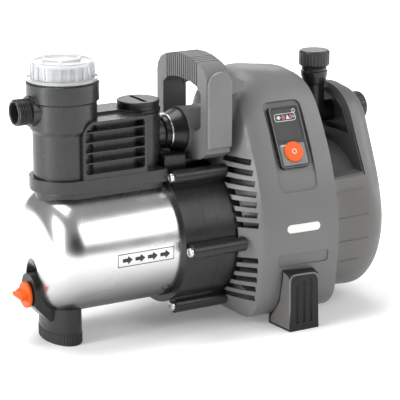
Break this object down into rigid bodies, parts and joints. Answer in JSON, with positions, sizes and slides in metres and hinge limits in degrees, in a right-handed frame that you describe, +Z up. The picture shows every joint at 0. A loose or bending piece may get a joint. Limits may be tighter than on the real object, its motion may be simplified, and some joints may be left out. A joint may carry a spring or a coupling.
{
  "type": "centrifugal water pump",
  "caption": "Horizontal multistage garden water pump with a steel barrel, filter with clear lid, carrying handle, grey motor hood, control panel and two capped outlets.",
  "frame": {"origin": "on the floor, under the middle of the machine's bounding box", "axes": "+X along the pump shaft from the inlet to the motor's fan end, +Z up, +Y to the far side from the control panel"},
  "size_m": [0.514, 0.268, 0.361],
  "materials": {
    "stainless_steel": "satin",
    "dark_plastic": "satin",
    "black_plastic": "satin",
    "rubber": "matte",
    "orange_plastic": "satin",
    "clear_plastic": "clear",
    "white_plastic": "satin",
    "grey_plastic": "fine texture",
    "light_grey_plastic": "fine texture",
    "display_plastic": "gloss",
    "bright_metal": "bright",
    "stage_plastic": "satin",
    "seal_carbon": "lapped",
    "core_steel": "laminated",
    "copper": "enamelled",
    "cast_aluminium": "cast",
    "component_plastic": "satin"
  },
  "bodies": {
    "housing": {"cable_gland": "black_plastic", "capacitor": "component_plastic", "check_valve_seat": "white_plastic", "check_valve_spring": "bright_metal", "clamp_ring": "black_plastic", "control_bezel": "black_plastic", "control_board": "component_plastic", "diffuser_1": "stage_plastic", "diffuser_2": "stage_plastic", "diffuser_3": "stage_plastic", "display_window": "display_plastic", "filter_housing": "dark_plastic", "filter_insert": "white_plastic", "flange_bolts": "bright_metal", "foot_sleeve": "rubber", "front_bearing": "bright_metal", "front_foot": "black_plastic", "handle_cover_far": "light_grey_plastic", "handle_cover_near": "light_grey_plastic", "handle_frame": "grey_plastic", "hood_screws": "bright_metal", "inlet_fitting": "dark_plastic", "motor_bracket": "black_plastic", "motor_hood": "grey_plastic", "motor_housing": "cast_aluminium", "outlet_manifold": "black_plastic", "outlet_union": "black_plastic", "pump_barrel": "stainless_steel", "rear_bearing": "bright_metal", "rear_cover": "grey_plastic", "rear_foot_far": "black_plastic", "rear_foot_near": "black_plastic", "recess_liner": "black_plastic", "saddle_base": "dark_plastic", "shaft_seal_seat": "seal_carbon", "stage_ring": "black_plastic", "stator_core": "core_steel", "stator_windings": "copper", "union_ring": "bright_metal", "valve_housing": "dark_plastic"},
    "drain_seal": {"drain_seal": "rubber"},
    "drain_plug": {"drain_plug": "orange_plastic"},
    "lid_seal": {"lid_seal": "rubber"},
    "filter_lid": {"filter_lid": "clear_plastic"},
    "fill_seal": {"fill_plug_seal": "rubber"},
    "fill_plug": {"fill_plug": "black_plastic"},
    "top_seal": {"top_outlet_seal": "rubber"},
    "top_cap": {"top_outlet_cap": "black_plastic"},
    "rear_seal": {"rear_outlet_seal": "rubber"},
    "rear_cap": {"rear_outlet_cap": "black_plastic"},
    "power_button": {"power_button": "orange_plastic"},
    "rotor": {"pump_shaft": "bright_metal", "impeller_nut": "black_plastic", "impeller_1": "stage_plastic", "impeller_2": "stage_plastic", "impeller_3": "stage_plastic", "shaft_seal_rotor": "seal_carbon", "rotor_core": "core_steel", "cooling_fan": "black_plastic"},
    "check_valve": {"check_valve_poppet": "white_plastic"}
  },
  "joints": [
    {"name": "drain_seal_travel", "type": "slide", "parent": "housing", "child": "drain_seal", "axis": [-1, 0, 0], "range_m": [0, 0.0128]},
    {"name": "drain_plug_turn", "type": "hinge", "parent": "drain_seal", "child": "drain_plug", "pos_m": [-0.2405, 0, 0.0633], "axis": [-1, 0, 0], "range_deg": [0, 2520]},
    {"name": "lid_seal_travel", "type": "slide", "parent": "housing", "child": "lid_seal", "axis": [0, 0, 1], "range_m": [0, 0.0121]},
    {"name": "filter_lid_turn", "type": "hinge", "parent": "lid_seal", "child": "filter_lid", "pos_m": [-0.1874, 0, 0.331], "axis": [0, 0, 1], "range_deg": [0, 1080]},
    {"name": "fill_seal_travel", "type": "slide", "parent": "housing", "child": "fill_seal", "axis": [0, 0, 1], "range_m": [0, 0.0121]},
    {"name": "fill_plug_turn", "type": "hinge", "parent": "fill_seal", "child": "fill_plug", "pos_m": [-0.0827, 0, 0.2813], "axis": [0, 0, 1], "range_deg": [0, 1440]},
    {"name": "top_seal_travel", "type": "slide", "parent": "housing", "child": "top_seal", "axis": [0, 0, 1], "range_m": [0, 0.01395]},
    {"name": "top_cap_turn", "type": "hinge", "parent": "top_seal", "child": "top_cap", "pos_m": [0.1824, 0, 0.3131], "axis": [0, 0, 1], "range_deg": [0, 2160]},
    {"name": "rear_seal_travel", "type": "slide", "parent": "housing", "child": "rear_seal", "axis": [1, 0, 0], "range_m": [0, 0.01395]},
    {"name": "rear_cap_turn", "type": "hinge", "parent": "rear_seal", "child": "rear_cap", "pos_m": [0.2366, 0, 0.2494], "axis": [1, 0, 0], "range_deg": [0, 2160]},
    {"name": "button_press", "type": "slide", "parent": "housing", "child": "power_button", "axis": [0, 0.8949, -0.4462], "range_m": [0, 0.0025], "stiffness_N_per_m": 400, "springref_m": -0.002},
    {"name": "shaft_spin", "type": "hinge", "parent": "housing", "child": "rotor", "pos_m": [0, 0, 0.1165], "axis": [1, 0, 0], "continuous": true},
    {"name": "check_valve_lift", "type": "slide", "parent": "housing", "child": "check_valve", "axis": [0, 0, -1], "range_m": [0, 0.006], "stiffness_N_per_m": 150, "springref_m": -0.004, "deforming": ["check_valve_spring"]}
  ],
  "couplings": [
    {"joint": "drain_seal_travel", "follows": "drain_plug_turn", "m_per_rad": 0.00028871},
    {"joint": "lid_seal_travel", "follows": "filter_lid_turn", "m_per_rad": 0.00063662},
    {"joint": "fill_seal_travel", "follows": "fill_plug_turn", "m_per_rad": 0.00047746},
    {"joint": "top_seal_travel", "follows": "top_cap_turn", "m_per_rad": 0.00036749},
    {"joint": "rear_seal_travel", "follows": "rear_cap_turn", "m_per_rad": 0.00036749}
  ]
}
